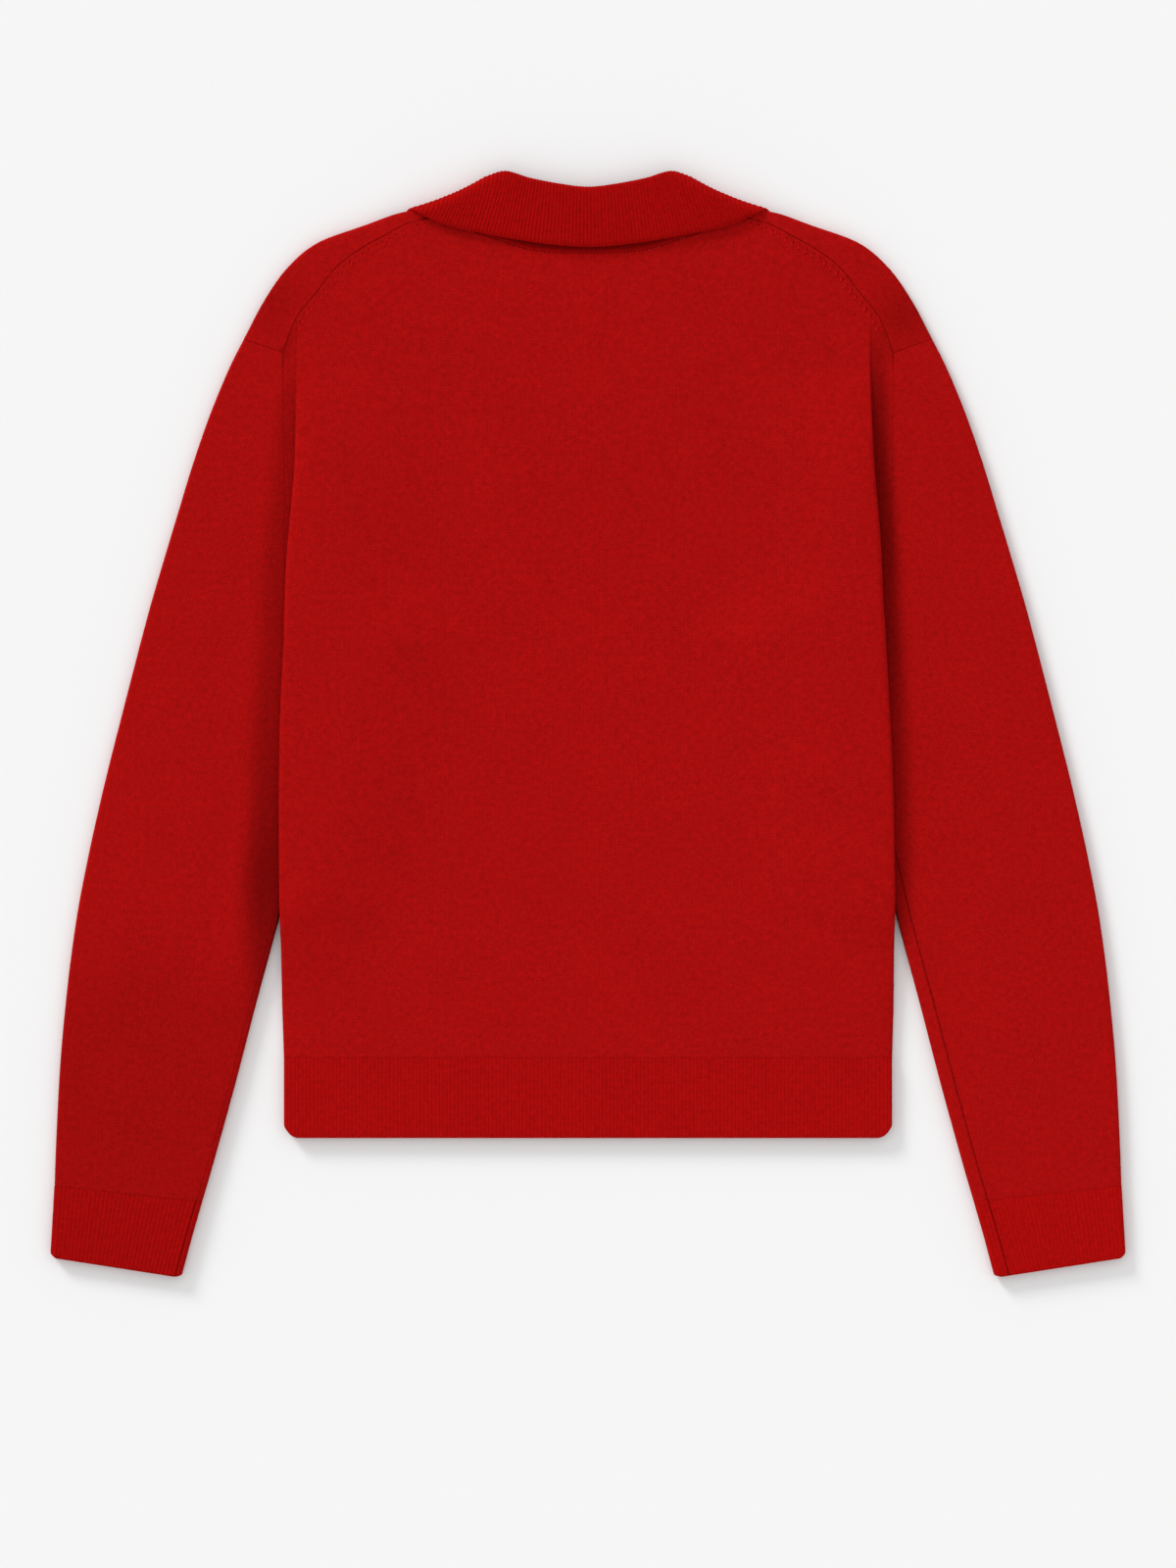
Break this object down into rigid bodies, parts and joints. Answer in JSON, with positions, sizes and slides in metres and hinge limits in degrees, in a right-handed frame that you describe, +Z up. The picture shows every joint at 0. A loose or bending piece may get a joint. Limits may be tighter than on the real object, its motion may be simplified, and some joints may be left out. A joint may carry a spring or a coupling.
{
  "type": "sweater",
  "caption": "Knitted long-sleeved sweater with a ribbed fold-over collar, ribbed cuffs and a ribbed hem, laid flat on its front.",
  "frame": {"origin": "on the surface it lies on, under the middle of the garment's length and width", "axes": "+Z up out of the surface, +Y from the hem to the collar, +X to the side of the sleeve at the right of the view from above"},
  "size_m": [0.696, 0.7142, 0.0112],
  "materials": {
    "back": "fine plain knit",
    "front": "fine plain knit",
    "sleeve_left": "fine plain knit",
    "sleeve_right": "fine plain knit",
    "collar": "rib knit",
    "hem_back": "rib knit",
    "hem_front": "rib knit",
    "cuff_left": "rib knit",
    "cuff_right": "rib knit"
  },
  "bodies": {
    "root": {"back": "back", "front": "front", "sleeve_left": "sleeve_left", "sleeve_right": "sleeve_right", "collar": "collar", "hem_back": "hem_back", "hem_front": "hem_front", "cuff_left": "cuff_left", "cuff_right": "cuff_right"}
  },
  "joints": []
}
